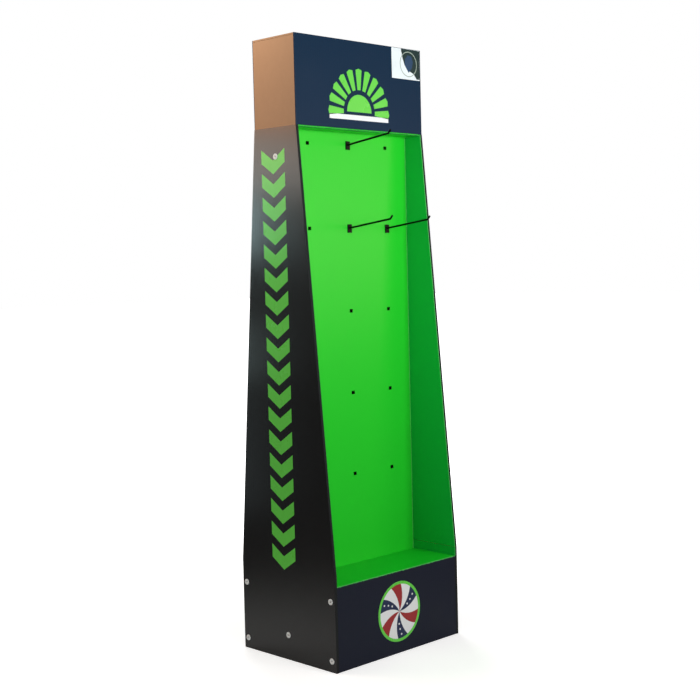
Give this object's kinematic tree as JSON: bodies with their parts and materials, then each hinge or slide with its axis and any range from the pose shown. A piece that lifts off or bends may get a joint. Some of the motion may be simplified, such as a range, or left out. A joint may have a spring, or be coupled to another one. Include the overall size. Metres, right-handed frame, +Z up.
{
  "type": "cardboard display stand",
  "caption": "Two-sided floor display stand of folded corrugated board, with tapered side walls, green hook panels, shelves, peg hooks and a header box.",
  "frame": {"origin": "centre of the bounding box's underside, on the floor; the hooks reach 5.7 mm past the base at the front, so the stand's own middle lies 2.8 mm behind the origin", "axes": "+Z up, -Y towards the front with the hooks, +X to the right seen from the front"},
  "size_m": [0.4612, 0.3526, 1.561],
  "materials": {
    "side_board": "black print with a satin film, green print on the inner layer",
    "spine_board": "bright green print with a satin film",
    "apron_board": "dark navy print outside, green print on the shelf",
    "header_board": "navy print on front and rear, plain kraft brown on the sides",
    "sticker_paper": "coated label paper",
    "rivet_plastic": "natural nylon, slightly glossy",
    "hook_plastic": "black moulded plastic"
  },
  "bodies": {
    "root": {"left_side_wall": "side_board", "right_side_wall": "side_board", "hook_spine": "spine_board", "front_apron_shelf": "apron_board", "rear_apron_shelf": "apron_board", "header_box": "header_board", "header_sticker": "sticker_paper", "base_rivet_caps": "rivet_plastic", "base_rivet_studs": "rivet_plastic", "spine_rivet_caps": "rivet_plastic", "spine_rivet_studs": "rivet_plastic", "peg_hook_top_middle": "hook_plastic", "peg_hook_second_middle": "hook_plastic", "peg_hook_second_right": "hook_plastic"}
  },
  "joints": []
}
